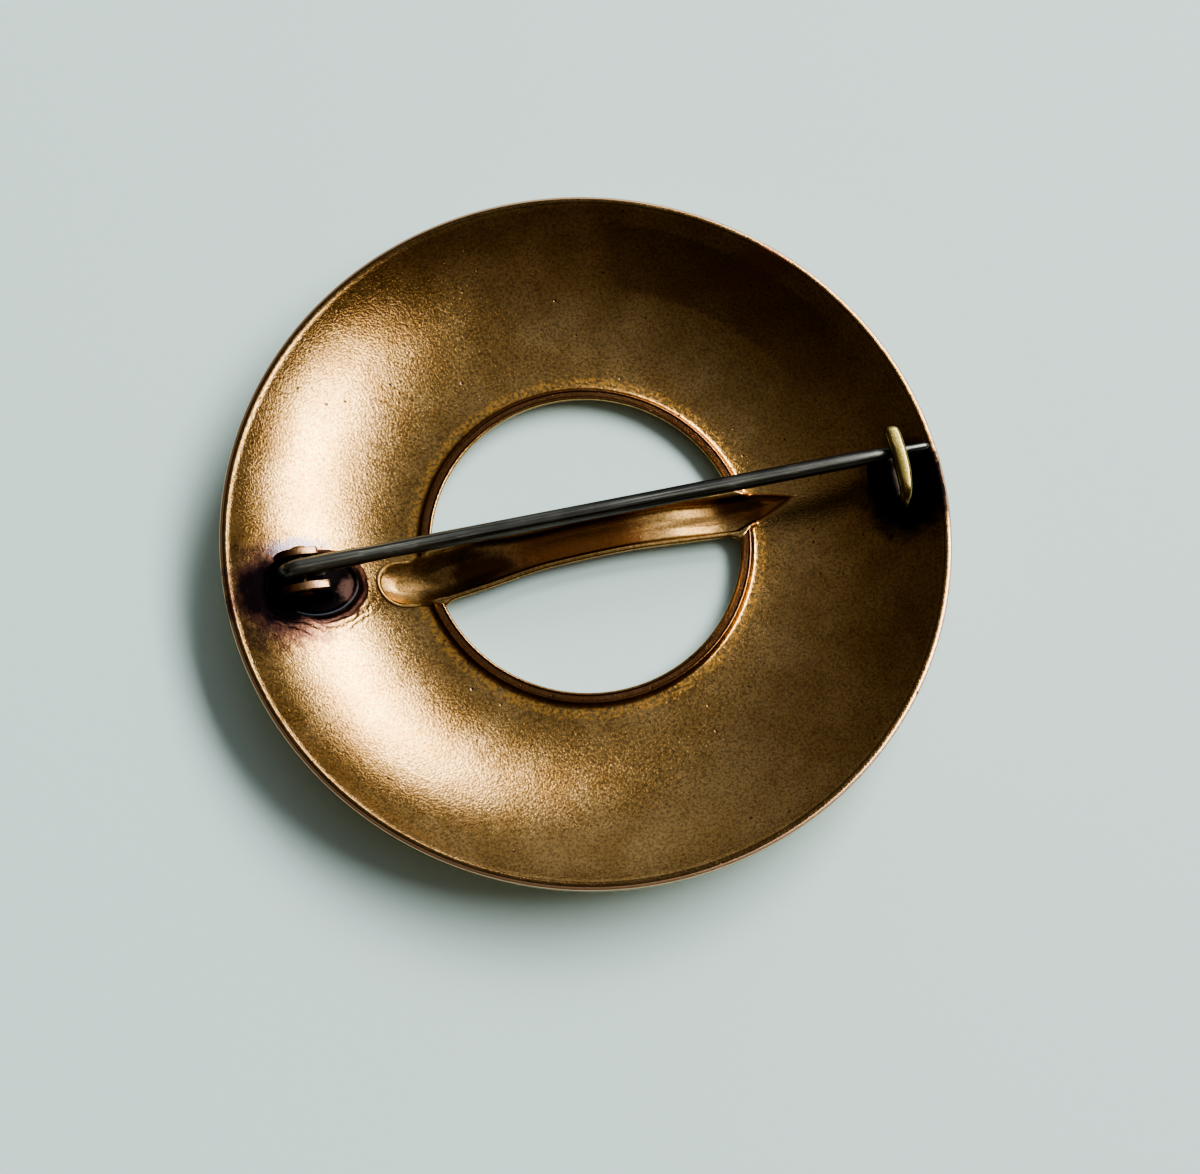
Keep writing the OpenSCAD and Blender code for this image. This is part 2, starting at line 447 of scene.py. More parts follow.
# Each ring of finish has its inner and outer radius, the softness of its edges, and its share.
SCORCH_RING = (17.9, 21.3, 0.4, 0.4)
GOLD_RING = (11.0, 11.5, 0.25, 0.9)
LIP_RING = (10.12, 10.72, 0.04, 0.7)
LAND_RING = (22.5, 22.79, 0.03, 0.6)
# This one is measured in outlines of the hinge plate.
SOLDER_RING = (1.3, 1.45, 0.25, 0.8)

# %% Plain bronze
def start_bronze(name):
    material, tree, where = new_finish(name)
    grain = lay_in(tree, GRAIN, Where=where, Fine=6.8, Coarse=1.8, Pits=1.1)
    colour = tint(tree, soft_step(tree, grain["Cloud"], 0.35, 0.65), BROWN, GOLD)
    mottle = soft_step(tree, cloudy(tree, where, 5.5, 5.0, 0.85), 0.46, 0.58)
    return material, tree, where, grain, tint(tree, multiply(tree, mottle, 0.5), colour, DEEP_BROWN)

# %% Smoke, rings and the runs of solder
def smoked_colour(tree, where, ragged, polished):
    """The broad smoke at the upper right, with a darker scorched band whose left end is sharp."""
    colour = tint(tree, patch(tree, where, *BROAD_SMOKE), polished, SMOKE)
    along, across, _ = axes_of(tree, where)
    scorch = multiply(tree, band(tree, ragged, *SCORCH_RING), soft_step(tree, along, 4.8, 6.2))
    scorch = multiply(tree, scorch, soft_step(tree, across, 6.0, 13.0))
    return tint(tree, scorch, colour, SMOKE)


def ringed_colour(tree, where, radius, ragged, colour):
    """Raw gold in specks round the lip, and dark skin on the lip and on the rim's land."""
    specks = soft_step(tree, cloudy(tree, where, 4.6, 2.0), 0.4, 0.62)
    gold = multiply(tree, band(tree, ragged, *GOLD_RING), specks)
    for mask, skin in ((gold, RAW_GOLD), (band(tree, radius, *LIP_RING), LIP_SKIN),
                       (band(tree, radius, *LAND_RING), DARK_SKIN)):
        colour = tint(tree, mask, colour, skin)
    return colour


def solder_runs(tree, where):
    """Ripples in the height where the solder ran out below the plate."""
    oval = plate_oval(tree, where)
    wave = calc(tree, "MULTIPLY_ADD", cloudy(tree, where, 0.9, 2.0), 18.0, multiply(tree, oval, 26.0))
    across = axes_of(tree, where)["Y"]
    below = soft_step(tree, across, -1.6, -0.2, 1.0, 0.0)
    return multiply(tree, calc(tree, "SINE", wave),
                    multiply(tree, band(tree, oval, *SOLDER_RING), below))

# %% The ring's finish
def make_bronze():
    material, tree, where, grain, polished = start_bronze("cast_bronze")
    radius = reach_in_plan(tree, where)
    wobble = calc(tree, "MULTIPLY_ADD", cloudy(tree, where, 3.6, 3.0), 0.9, -0.45)
    ragged = calc(tree, "ADD", radius, wobble)
    colour = smoked_colour(tree, where, ragged, polished)
    colour = ringed_colour(tree, where, radius, ragged, colour)
    # The rim's outer corner is rubbed bare, and its lighter colour is also a painted highlight.
    corner = soft_step(tree, axes_of(tree, where)["Z"], 4.82, 4.92)
    edge_and_highlight = multiply(tree, soft_step(tree, radius, 22.79, 22.83), corner)
    # Soot round the hinge, with painted shadow of the bracket to its left.
    hinge_soot_and_shadow = patch(tree, where, *HINGE_SOOT_AND_SHADOW)
    within_rim = soft_step(tree, radius, 22.85, 22.95, 1.0, 0.0)
    catch_soot = multiply(tree, patch(tree, where, *CATCH_SOOT), within_rim)
    for mask, stain in ((edge_and_highlight, BARE_EDGE_AND_HIGHLIGHT),
                        (patch(tree, where, *COPPER_STAIN), COPPER),
                        (patch(tree, where, *HINGE_HEAT), PURPLE_BROWN),
                        (hinge_soot_and_shadow, SOOT),
                        (patch(tree, where, *HINGE_BLOOM), LILAC),
                        (catch_soot, SOOT),
                        (multiply(tree, grain["Pit"], 0.8), SMOKE)):
        colour = tint(tree, mask, colour, stain)
    # The front never saw the torch, so faces that look down keep the plain colour.
    facing_up = axes_of(tree, tree.nodes.new("ShaderNodeTexCoord").outputs["Normal"])["Z"]
    colour = tint(tree, soft_step(tree, facing_up, -0.2, 0.1), polished, colour)
    soot_and_shadow = calc(tree, "MAXIMUM", hinge_soot_and_shadow, catch_soot)
    dull = calc(tree, "MAXIMUM", soot_and_shadow, multiply(tree, edge_and_highlight, 0.6))
    rough = calc(tree, "MULTIPLY_ADD", grain["Cloud"], 0.08, 0.115)
    rough = calc(tree, "MULTIPLY_ADD", dull, 0.3, rough)
    lines = lay_in(tree, SCRATCH, Where=where, Turn=0.9, Spacing=2.2, Amount=0.08)["Mask"]
    raised = calc(tree, "ADD", solder_runs(tree, where), grain["Height"])
    set_surface(tree, colour, rough, calc(tree, "SUBTRACT", raised, lines), depth=0.0115)
    return material


bronze = make_bronze()
print("Finish:", bronze.name)

# %% [markdown]
# The bar is cast in the same bronze, but it was never rubbed inside, so its trough keeps the dark skin
# of the casting, warmer in the middle and in the leaf. One material could do both pieces, but two
# keep the masks of each few and plain.

# %% The bar's finish
NECK_SKIN = ((-7.0, -0.4, 0.8), (5.6, 3.0, 3.0), 0.8, 0.6, 0.8, 0.98)
MIDDLE_WARMTH = ((-0.4, 0.2, 0.8), (6.0, 3.0, 3.0), 0.5, 0.4, 0.8, 0.82)
LEAF_WARMTH = ((11.8, 0.8, 0.8), (3.6, 2.0, 3.0), 0.4, 0.4, 0.8, 0.8)


def make_bar_bronze():
    material, tree, where, grain, colour = start_bronze("bar_bronze")
    along, _, height = axes_of(tree, where)
    inside = soft_step(tree, height, 1.1, 1.38, 1.0, 0.0)
    middle, leaf = patch(tree, where, *MIDDLE_WARMTH), patch(tree, where, *LEAF_WARMTH)
    warm = multiply(tree, inside, calc(tree, "MAXIMUM", middle, leaf))
    skin = multiply(tree, inside, patch(tree, where, *NECK_SKIN))
    colour = tint(tree, skin, tint(tree, warm, colour, WARM_BROWN), DARK_SKIN)
    spoon = soft_step(tree, along, -11.0, -9.5, 0.5, 0.0)
    rough = calc(tree, "MULTIPLY_ADD", calc(tree, "MAXIMUM", skin, spoon), 0.3, 0.2)
    open_end = multiply(tree, soft_step(tree, along, 0.5, 6.0), soft_step(tree, along, 8.2, 9.6, 0.18, 0.0))
    set_surface(tree, colour, calc(tree, "ADD", rough, open_end), grain["Height"], depth=0.007)
    return material


bar_bronze = make_bar_bronze()
print("Finish:", bar_bronze.name)

# %% [markdown]
# The small parts are plain metals with the casting's grain, a little of it or much. One helper makes
# such a metal, and each finish then paints its own history over it.

# %% A plain grained metal
def make_plain(name, dark, light, fine, rough, depth, scratch=None):
    """Grained metal; a scratch is its turn, the spacing of its lines and their amount."""
    material, tree, where = new_finish(name)
    grain = lay_in(tree, GRAIN, Where=where, Fine=fine, Coarse=2.0, Pits=3.0)
    colour = tint(tree, soft_step(tree, grain["Cloud"], 0.38, 0.62), dark, light)
    height = grain["Height"]
    if scratch:
        turn, spacing, amount = scratch
        lines = lay_in(tree, SCRATCH, Where=where, Turn=turn, Spacing=spacing, Amount=amount)["Mask"]
        height = calc(tree, "SUBTRACT", height, lines)
    set_surface(tree, colour, calc(tree, "MULTIPLY_ADD", grain["Cloud"], 0.14, rough), height, depth)
    return material, tree, where, colour

# %% [markdown]
# The bracket. The torch burnt it black. The blue along the front of its plate's rim is a painted
# highlight, and the pink at the end of the plate a painted reflection of the window. The ears stand
# highest, so their tops are rubbed bare; along each top the colour is painted darker at the left and
# lighter at the lit right. Height and place say where each of these lies, so nothing has to be painted
# by hand.

# %% The bracket's finish
BURNT_BLACK = (0.006, 0.006, 0.008, 1)
BURNT_BROWN = (0.02, 0.016, 0.018, 1)
RUBBED_PAINTED_SHADE = (0.17, 0.085, 0.035, 1)
RUBBED_PAINTED_LIGHT = (0.38, 0.25, 0.165, 1)
PINK_PAINTED_REFLECTION = (0.36, 0.20, 0.16, 1)
BLUE_PAINTED_HIGHLIGHT = (0.11, 0.15, 0.19, 1)
PLATE_PAINTED_REFLECTION = ((-15.55, -0.3, 2.2), (0.85, 1.25, 2), 0.8, 1.4, 2.4, 0.6)


def make_bracket_finish():
    """Burnt black, with its ears rubbed bare and painted lighter towards their lit ends, a painted
    reflection of the window in pink and a painted highlight in blue along its plate's rim.
    """
    material, tree, where, colour = make_plain("heated_bracket", BURNT_BLACK, BURNT_BROWN, fine=6.0,
                                               rough=0.4, depth=0.012)
    along, across, up = axes_of(tree, where)
    # Along the ear tops, darker at the left and lighter at the right: painted shade and light over the
    # rubbed bare metal.
    rubbed_and_lit = tint(tree, soft_step(tree, along, -18.8, -17.2), RUBBED_PAINTED_SHADE, RUBBED_PAINTED_LIGHT)
    colour = tint(tree, soft_step(tree, up, 4.62, 4.78), colour, rubbed_and_lit)
    # The pink at the end of the plate is a painted reflection of the window, made diffuse so that it shows.
    stain = patch(tree, where, *PLATE_PAINTED_REFLECTION)
    colour = tint(tree, stain, colour, PINK_PAINTED_REFLECTION)
    # The blue along the front of the plate's rim is a painted highlight.
    rim_highlight = soft_step(tree, plate_oval(tree, where), 0.93, 0.98)
    rim_highlight = multiply(tree, rim_highlight, soft_step(tree, up, 3.3, 3.0))
    rim_highlight = multiply(tree, rim_highlight, soft_step(tree, across, -0.3, 0.3, 0.8, 0.0))
    paint(tree, tint(tree, rim_highlight, colour, BLUE_PAINTED_HIGHLIGHT))
    paint(tree, calc(tree, "SUBTRACT", 1.0, calc(tree, "MAXIMUM", stain, rim_highlight)), "Metallic")
    paint(tree, soft_step(tree, up, 4.5, 4.7, 0.5, 0.3), "Roughness")
    return material


bracket_finish = make_bracket_finish()
print("Finish:", bracket_finish.name)

# %% [markdown]
# Brass. The catch is clean where the pin rubs it, painted black on its lower arm as shade under the
# upper arm, and browned at its bend. Three brasses on three parts of it would meet in hard lines, so
# the black and the brown are masks with soft edges over one clean brass.

# %% The catch's finish
DULL_BRASS = (0.30, 0.24, 0.09, 1)
CLEAN_BRASS = (0.52, 0.44, 0.20, 1)
BRASS_PAINTED_SHADE = (0.02, 0.018, 0.02, 1)
BROWNED_BRASS = (0.16, 0.085, 0.03, 1)
BROWNED_BEND = ((CATCH_X - 0.12, -2.3, 6.3), (0.36, 1.0, 1.2), 0.5, 0.3, 2.0, 0.8)


def make_brass():
    """Clean where the pin rubs it, painted black on its lower arm as shade, and browned at its bend."""
    material, tree, where, colour = make_plain("clean_brass", DULL_BRASS, CLEAN_BRASS, fine=9.0, rough=0.2,
                                               depth=0.006, scratch=(1.5, 5.0, 0.5))
    # The lower arm is painted black: painted shade under the upper arm.
    low_arm_shade = soft_step(tree, axes_of(tree, where)["Z"], 4.7, 5.3, 0.97, 0.0)
    browned = patch(tree, where, *BROWNED_BEND)
    paint(tree, tint(tree, browned, tint(tree, low_arm_shade, colour, BRASS_PAINTED_SHADE), BROWNED_BRASS))
    return material


brass = make_brass()
print("Finish:", brass.name)

# %% [markdown]
# Steel. Wire is drawn through a die, which leaves streaks all along it. Noise that is stretched along
# the wire gives them, and a soft step darkens it towards its point as painted shade.

# %% The pin's finish
DARK_STEEL = (0.08, 0.08, 0.08, 1)
MID_STEEL = (0.12, 0.12, 0.115, 1)
STREAK_STEEL = (0.36, 0.375, 0.33, 1)
TIP_STEEL_SHADE = (0.08, 0.085, 0.08, 1)


def make_steel():
    """Streaked all along by the die, and painted darker towards its point as shade."""
    material, tree, where, colour = make_plain("drawn_steel", DARK_STEEL, MID_STEEL, fine=9.0, rough=0.3,
                                               depth=0.006, scratch=(0.0, 8.0, 0.9))
    drawn = vector_calc(tree, "MULTIPLY", where, (0.012, 1.0, 1.0))
    streaks = soft_step(tree, cloudy(tree, drawn, 4.5, 3.0), 0.4, 0.66)
    # Darker towards the point: painted shade.
    towards_point_shade = soft_step(tree, axes_of(tree, where)["X"], 0.0, 15.0, 0.0, 0.5)
    paint(tree, tint(tree, towards_point_shade, tint(tree, streaks, colour, STREAK_STEEL), TIP_STEEL_SHADE))
    return material


steel = make_steel()
print("Finish:", steel.name)

# %% [markdown]
# Solder. It is pinkish brown where it ran out thin and burnt black round the hot plate, so a ragged
# oval a little larger than the plate is laid over it. Towards its ends, most at the left, it is painted
# black as the shadow of the bracket. Its grain is coarser and deeper than the rest.

# %% The solder's finish
DARK_SOLDER = (0.10, 0.05, 0.04, 1)
PINK_SOLDER = (0.24, 0.13, 0.10, 1)
BURNT_SOLDER = ((PLATE_X, PLATE_Y, 2.2), (PLATE_L / 2 + 0.55, PLATE_W / 2 + 0.55, 9), 0.25, 0.3, 1.4, 0.99)


def make_solder_finish():
    """Black where it touches the hot plate, pinkish brown where it ran out thin, and painted black towards
    its ends as the bracket's shadow.
    """
    material, tree, where, colour = make_plain("smoked_solder", DARK_SOLDER, PINK_SOLDER, fine=5.0,
                                               rough=0.28, depth=0.05)
    # Blackening towards both ends, most at the left, is painted shadow of the bracket.
    far_end_shade = calc(tree, "ABSOLUTE", calc(tree, "ADD", axes_of(tree, where)["X"], 16.0))
    burnt_and_shaded = calc(tree, "MAXIMUM", patch(tree, where, *BURNT_SOLDER), soft_step(tree, far_end_shade, 1.6, 2.8))
    paint(tree, tint(tree, burnt_and_shaded, colour, SOOT))
    return material


solder_finish = make_solder_finish()
print("Finish:", solder_finish.name)

# %% [markdown]
# The ring. A turner would cut it: draw half of its cross-section and spin it round the axis. The
# lip has two fine crests with a shallow valley between them, and the rim a narrow flat land. Blocks
# with rounded edges could make it too, but one drawn section keeps all of these even the whole way.

# %% Draw the ring's cross-section
LIP_CREST = 0.13
LIP_VALLEY = 0.07
VALLEY_HALF = 0.13
RIM_ROUND, RIM_BREAK = 0.1, 0.15
FOOT_BLEND, FOOT_LIFT = 0.4, 0.04


def ring_section():
    bowl_end = math.degrees(math.asin(BOWL_RUN / BOWL_R))
    front_start = math.degrees(math.asin((FOOT_R + FOOT_BLEND - BOWL_START) / (BOWL_R + WALL)))
    front_end = math.degrees(math.asin((RIM_R - BOWL_START) / (BOWL_R + WALL)))
    points = arc(RIM_R - RIM_ROUND, RIM_H - RIM_BREAK, RIM_ROUND, 0, 70, 4)
    points += [(RIM_R - 2 * RIM_ROUND, RIM_H), (RIM_R - RIM_LAND + 0.06, RIM_H)]
    points += arc(BOWL_START, BOWL_C, BOWL_R, -90 + bowl_end - 0.2, -90, 40)
    points += arc(LIP_R + FILLET, FLOOR_H + FILLET, FILLET, 268, 190, 5)
    points += arc(LIP_R - LIP_CREST, LIP_TOP - LIP_CREST, LIP_CREST, 0, 100, 5)
    points += [((HOLE_R + LIP_R) / 2 + side * VALLEY_HALF, LIP_TOP - LIP_VALLEY) for side in (1, -1)]
    points += arc(HOLE_R + LIP_CREST, LIP_TOP - LIP_CREST, LIP_CREST, 80, 180, 5)
    points += [(DOME_R - (DOME_R - HOLE_R) * math.cos(a), LIP_EDGE * (1 - math.sin(a)))
               for a in (math.radians(9 * i) for i in range(11))]
    points += [(FOOT_R, FOOT_LIFT)]
    points += arc(BOWL_START, BOWL_C, BOWL_R + WALL, -90 + front_start, -90 + front_end, 26)
    return points


def draw_line(name, points):
    deselect_all()
    bpy.ops.mesh.primitive_plane_add(size=0.2, location=(0, 0, 0))
    piece = started(name)
    edit(piece)
    bpy.ops.mesh.select_all(action="SELECT")
    bpy.ops.mesh.merge(type="CENTER")
    bpy.ops.transform.translate(value=(points[0][0], 0, points[0][1]))
    for before, after in zip(points, points[1:]):
        extrude((after[0] - before[0], 0, after[1] - before[1]))
    done()
    return piece


section = ring_section()
ring = draw_line("dish_ring", section)
ends = [Vector((section[i][0], 0, section[i][1])) for i in (0, -1)]
pick(ring, "VERT", lambda co: min((co - end).length for end in ends) < 0.001)
bpy.ops.mesh.edge_face_add()
done()
print(f"Cross-section of {len(section)} points")

# %% Spin it
edit(ring)
bpy.ops.mesh.select_all(action="SELECT")
bpy.ops.mesh.spin(steps=224, angle=2 * math.pi, center=(0, 0, 0), axis=(0, 0, 1))
done()
close_seams(ring)
print(f"Ring: {len(ring.data.vertices)} vertices, top {max(v.co.z for v in ring.data.vertices):.2f}")

# %% [markdown]
# The bar is a hollow casting: a trough with thin walls whose crests run level with the lip. Its left
# end opens to a round spoon, its right end closes to a leaf. All its edges run side by side, like
# the contour lines of a map, so a grid is laid with each row on one contour and at its height.

# %% The bar's plan
BAR_HALF = 1.44
BAR_BOW = 85.0
BAR_APEX = (1.8, 0.36)
SPOON_X, SPOON_R = -12.15, 1.64
SPOON_LIFT = 0.048
NECK_X = -9.0
LEAF_X, LEAF_TIP = 9.8, 14.4
LEAF_SKEW = 1.02
LEAF_DRAW = 2.3
BAR_WALL = 0.32
CORNER = 0.42


def bar_mid(x):
    skew = LEAF_SKEW * max(0.0, (x - LEAF_X) / (LEAF_TIP - LEAF_X))
    lift = SPOON_LIFT * max(0.0, NECK_X - x) ** 2
    return BAR_APEX[1] - (x - BAR_APEX[0]) ** 2 / (2 * BAR_BOW) + skew + lift


def bar_half(x):
    """Half the bar's width: slimmest near the middle, wider towards both ends."""
    return BAR_HALF + 0.26 * ease(-x, 2.5, 7.5) + 0.1 * ease(x, 2.0, 7.0)


def neck_swell(x):
    """The far side of the neck bulges a little before it reaches the spoon."""
    return 0.22 * ease(-x, 4.5, 7.5) * (1 - ease(-x, 9.2, 11.2))


def bowl_height(radius):
    if radius <= BOWL_START:
        return FLOOR_H
    return BOWL_C - math.sqrt(BOWL_R ** 2 - (radius - BOWL_START) ** 2)

# %% One side of the bar, and the whole contour
def bar_side(inset):
    """One long edge of the bar, from the spoon's end to the leaf's point, as (x, half width)."""
    spoon = SPOON_R - inset
    points = [(SPOON_X - spoon * math.cos(a), spoon * math.sin(a))
              for a in (math.radians(6 * i) for i in range(15))]
    for i in range(70):
        x = mix(SPOON_X, LEAF_X, i / 70)
        rounding = max(0.0, (NECK_X - x) / (NECK_X - SPOON_X))
        points.append((x, mix(bar_half(x), SPOON_R, rounding) - inset))
    tip = LEAF_TIP - LEAF_DRAW * inset
    for share in ((i / 30) ** 0.8 for i in range(31)):
        points.append((mix(LEAF_X, tip, share), (bar_half(LEAF_X) - inset) * (1 - share ** 1.25)))
    return points


def corner_flare(x, y):
    """How far the wall swells where it runs into the lip."""
    short = HOLE_R - math.hypot(x, y)
    if short > 0:
        return CORNER * max(0.0, 1 - short / 0.75) ** 2
    return CORNER * max(0.0, 1 + short / 0.6)


def bar_loop(inset):
    """The whole contour at this inset, as (x, y)."""
    side = bar_side(inset)
    loop = []
    for sign, run in ((-1, side), (1, side[-2:0:-1])):
        for x, half in run:
            y = bar_mid(x) + sign * half + (neck_swell(x) if sign > 0 else 0)
            loop.append((x, y + sign * corner_flare(x, y) * max(0.0, 1 - inset / BAR_WALL)))
    return loop


print(f"Contour of {len(bar_loop(0.0))} points")

# %% The bar's heights
TROUGH_SLOPE = 0.13
SPOON_DEEP_X, SPOON_BOTTOM = -10.9, 0.42
SPOON_LONG, SPOON_WIDE = 2.95, 1.5
UNDER_ROW = "under"
TROUGH_ROW = "trough"


def on_ring(x, y):
    return ease(math.hypot(x, y), LIP_R - 0.1, LIP_R + 0.55)


def crest_height(x, y):
    raised = 0.05 * ease(-x, 11.0, 12.0)
    return mix(LIP_TOP, bowl_height(math.hypot(x, y)) + 0.015 + raised, on_ring(x, y))


def trough_floor(x):
    """The floor along the bar: level where it is widest, then down, and up again into the leaf."""
    return 0.78 - 0.38 * ease(x, 5.4, 8.6) + 0.75 * ease(x, 8.8, 14.2)


def spoon_height(x, y):
    """A long shallow dish, deepest where the spoon runs into the neck."""
    away = (min(0.0, x - SPOON_DEEP_X) / SPOON_LONG) ** 2 + ((y - bar_mid(x)) / SPOON_WIDE) ** 2
    return mix(SPOON_BOTTOM, crest_height(x, y), min(1.0, away))


def trough_height(x, y, inset):
    """Height inside the walls: steep sides, then two flat slopes that meet along the middle."""
    deep = inset - BAR_WALL
    steep = max(0.0, 1 - deep / 0.34) ** 2.4
    sloping = trough_floor(x) + TROUGH_SLOPE * max(0.0, 1.1 - deep)
    return mix(mix(min(sloping, crest_height(x, y) - 0.1), crest_height(x, y), steep), spoon_height(x, y),
               ease(-x, 5.5, 9.0))


def bar_height(x, y, inset, row):
    if row == UNDER_ROW:
        rounded = 0.2 + 0.85 * max(0.0, 1 - inset / 0.8) ** 2.4
        return mix(rounded, 0.45, on_ring(x, y))
    if row == TROUGH_ROW:
        return trough_height(x, y, inset)
    return crest_height(x, y) - row


# Each row is how far it lies inside the bar's outline, and how far below the crest, or its kind.
BAR_ROWS = [(under, UNDER_ROW) for under in (0.8, 0.6, 0.42, 0.28, 0.16, 0.07, 0.02)]
BAR_ROWS += [(0.0, 0.25), (0.0, 0.13), (0.035, 0.045), (0.1, 0.005), (0.19, 0.0), (0.27, 0.02), (0.32, 0.07)]
BAR_ROWS += [(BAR_WALL + deep, TROUGH_ROW)
             for deep in (0.03, 0.07, 0.12, 0.18, 0.26, 0.36, 0.48, 0.62, 0.78, 0.92)]
print(f"{len(BAR_ROWS)} rows")

# %% A grid laid along closed loops
def lay_rows(name, rows):
    """A grid whose rows are laid along the closed loops given, one loop for each row, ends filled."""
    deselect_all()
    around, deep = len(rows[0]), len(rows)
    bpy.ops.mesh.primitive_grid_add(x_subdivisions=around, y_subdivisions=deep - 1, size=1)
    piece = started(name)
    for i, row in enumerate(rows):
        for j, point in enumerate(row + row[:1]):
            piece.data.vertices[i * (around + 1) + j].co = point
    close_seams(piece)
    for row in (rows[0], rows[-1]):
        marks = {tuple(round(c, 3) for c in point) for point in row}
        pick(piece, "VERT", lambda co: tuple(round(c, 3) for c in co) in marks)
        bpy.ops.mesh.edge_face_add()
        done()
    close_seams(piece)
    return piece

# %% Lay out the bar and let it into the ring
bar = lay_rows("cross_bar", [[(x, y, bar_height(x, y, inset, row)) for x, y in bar_loop(inset)]
                             for inset, row in BAR_ROWS])
plug = lay_rows("bar_plug", [[(x, y, z) for x, y in bar_loop(0.12)] for z in (0.47, 4.0)])
cut(ring, plug)
print(f"Bar: {len(bar.data.vertices)} vertices; ring after the cut: {len(ring.data.vertices)}")

# %% Two small nicks in the rim, then hand both over
def nick_rim(azimuth, size, sink):
    a = math.radians(azimuth)
    place = ((RIM_R + sink) * math.cos(a), (RIM_R + sink) * math.sin(a), RIM_H + sink)
    deselect_all()
    bpy.ops.mesh.primitive_ico_sphere_add(subdivisions=3, radius=size, location=place)
    cut(ring, started("nick"))


nick_rim(176.8, 0.34, 0.16)
nick_rim(50.0, 0.45, 0.3)
hand_over(ring, "brooch", bronze, angle=30, stands_for=["dish"])
hand_over(bar, "brooch", bar_bronze, angle=40)

# %% [markdown]
# The hinge bracket: an oval plate with a sunk floor, tilted with the slope of the bowl, and two ears
# that hold the rivet. The outer corners of the ears are filed round, the inner ones nearly square.
# The plate is a disc resized to an oval and inset twice, so its rim keeps one width. Each ear is a
# block whose corners are taken off one by one, as with a file, before its hole is drilled.

# %% The bracket's plate
PLATE_T = 0.4
PLATE_TOP = 2.5
PLATE_TILT = math.radians(10)
PLATE_RIM, PLATE_STEP, PLATE_SINK = 0.16, 0.12, 0.16

deselect_all()
bpy.ops.mesh.primitive_circle_add(vertices=80, radius=0.5, fill_type="NGON", location=(0, 0, 0))
plate = started("hinge_bracket")
edit(plate, "FACE")
bpy.ops.mesh.select_all(action="SELECT")
bpy.ops.transform.resize(value=(PLATE_L, PLATE_W, 1))
extrude((0, 0, PLATE_T))
bpy.ops.mesh.inset(thickness=PLATE_RIM)
bpy.ops.mesh.inset(thickness=PLATE_STEP, depth=-PLATE_SINK)
done()
close_seams(plate)
bevel(plate, 0.05, angle=30)
plate.rotation_euler = (0, PLATE_TILT, 0)
plate.location = (PLATE_X - PLATE_T * math.sin(PLATE_TILT), PLATE_Y, PLATE_TOP - PLATE_T)
settle(plate)
print(f"Plate: {len(plate.data.vertices)} vertices")

# %% The two ears
EAR_T = 0.5
EAR_GAP = 1.8
EAR_TOP = 5.2
EAR_DROP = 0.36
EAR_FALL = 1.15
EAR_HOLE_R = 0.46
EAR_OUTER_ROUND, EAR_INNER_ROUND = 1.1, 0.12


def make_ear(side, start, end):
    """One ear between x = start and x = end, on this side of the pin."""
    y = rivet.y + side * (EAR_GAP + EAR_T) / 2
    bottom = PLATE_TOP - PLATE_T + 0.05
    deselect_all()
    bpy.ops.mesh.primitive_cube_add(size=1, location=((start + end) / 2, y, (bottom + EAR_TOP) / 2),
                                    scale=(end - start, EAR_T, EAR_TOP - bottom))
    ear = started("ear")
    settle(ear)
    edit(ear, "FACE")
    bpy.ops.mesh.select_all(action="SELECT")
    bpy.ops.mesh.bisect(plane_co=(end - EAR_FALL, 0, 0), plane_no=(1, 0, 0))
    done()
    pick(ear, "EDGE", lambda mid: mid.z > EAR_TOP - 0.01 and abs(mid.x - end) < 0.01)
    bpy.ops.transform.translate(value=(0, 0, -EAR_DROP))
    done()
    for corner, round_off, steps in ((start, EAR_OUTER_ROUND, 12), (end, EAR_INNER_ROUND, 3)):
        pick(ear, "EDGE", lambda mid: mid.z > EAR_TOP - EAR_DROP - 0.01 and abs(mid.x - corner) < 0.01)
        bpy.ops.mesh.bevel(offset=round_off, segments=steps, affect="EDGES")
        done()
    deselect_all()
    bpy.ops.mesh.primitive_cylinder_add(vertices=40, radius=EAR_HOLE_R, depth=2 * EAR_T,
                                        location=(rivet.x, y, rivet.z), rotation=(math.pi / 2, 0, 0))
    cut(ear, started("hole"))
    bevel(ear, 0.07, angle=40)
    return ear


near_ear = make_ear(-1, rivet.x - 1.7, rivet.x + 1.6)
far_ear = make_ear(1, rivet.x - 1.6, rivet.x + 1.2)
bracket = join(plate, near_ear, far_ear)
hand_over(bracket, "brooch", bracket_finish, angle=35)

# %% [markdown]
# Solder. It ran out from under the bracket and froze in a lumpy apron. A sculpted blob would hide the
# plate's clean edge, so its rows are laid as ovals that spread down to the bowl, and a little noise
# pushes them about.

# %% The solder apron under the bracket
def plate_height(x):
    return PLATE_TOP - (x - PLATE_X) * math.tan(PLATE_TILT)


def apron_loop(grow, lift):
    loop = []
    for a in (2 * math.pi * i / 120 for i in range(120)):
        c, s = math.cos(a), math.sin(a)
        spread = grow * (1 + 0.35 * ripple(c, s, 2.3, 4.0)) if grow > 0 else grow
        x = PLATE_X + (PLATE_L / 2 + spread) * c
        y = PLATE_Y + (PLATE_W / 2 + spread) * s
        lumps = 0.05 * ripple(x, y, 1.9, 1.0) * (1 - abs(2 * lift - 1))
        loop.append((x, y, mix(bowl_height(math.hypot(x, y)) - 0.05, plate_height(x) - 0.12, lift) + lumps))
    return loop


# How far each row spreads past the plate, and its height between the bowl (0) and the plate (1).
APRON = [(-0.3, 0.6), (-0.04, 1.0), (0.06, 0.92), (0.12, 0.7), (0.16, 0.5), (0.24, 0.38), (0.34, 0.34),
         (0.42, 0.26), (0.5, 0.12), (0.62, 0.0), (0.5, -0.5)]
apron = lay_rows("hinge_solder", [apron_loop(grow, lift) for grow, lift in APRON])
hand_over(apron, "brooch", solder_finish, angle=60)

